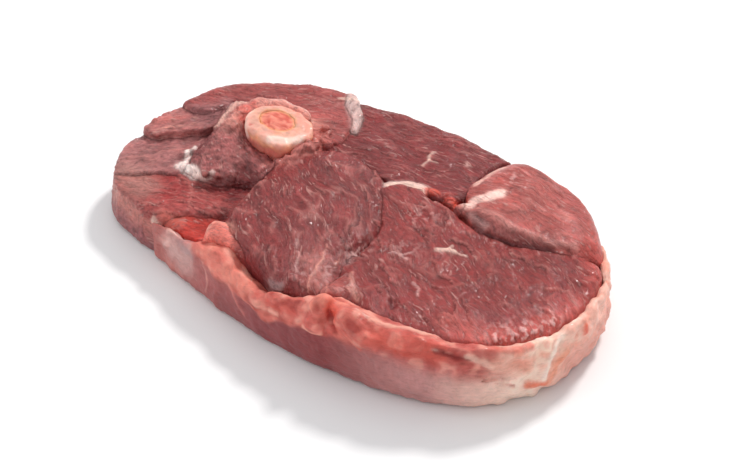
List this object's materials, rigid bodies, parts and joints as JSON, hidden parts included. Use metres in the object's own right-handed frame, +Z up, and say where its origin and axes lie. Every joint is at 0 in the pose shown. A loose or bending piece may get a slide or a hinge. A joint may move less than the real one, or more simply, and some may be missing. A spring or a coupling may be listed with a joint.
{
  "type": "raw lamb leg steak",
  "caption": "Raw bone-in lamb leg steak lying flat: muscles in relief round a proud ring of bone with marrow, and a roll of outside fat along one side.",
  "frame": {"origin": "middle of the steak's box in plan, on the flat cut face that it rests on", "axes": "+X along the steak's longest extent, the bone towards -X; +Y away from the side with the outside fat; +Z up through the thickness"},
  "size_m": [0.1756, 0.105, 0.0285],
  "materials": {
    "lean_meat": "moist raw lean meat with visible grain",
    "fat": "moist raw fat and membrane, satin",
    "bone": "sawn bone, satin",
    "marrow": "moist soft marrow"
  },
  "bodies": {
    "root": {"meat": "lean_meat", "outer_fat": "fat", "bone": "bone", "marrow": "marrow"}
  },
  "joints": []
}
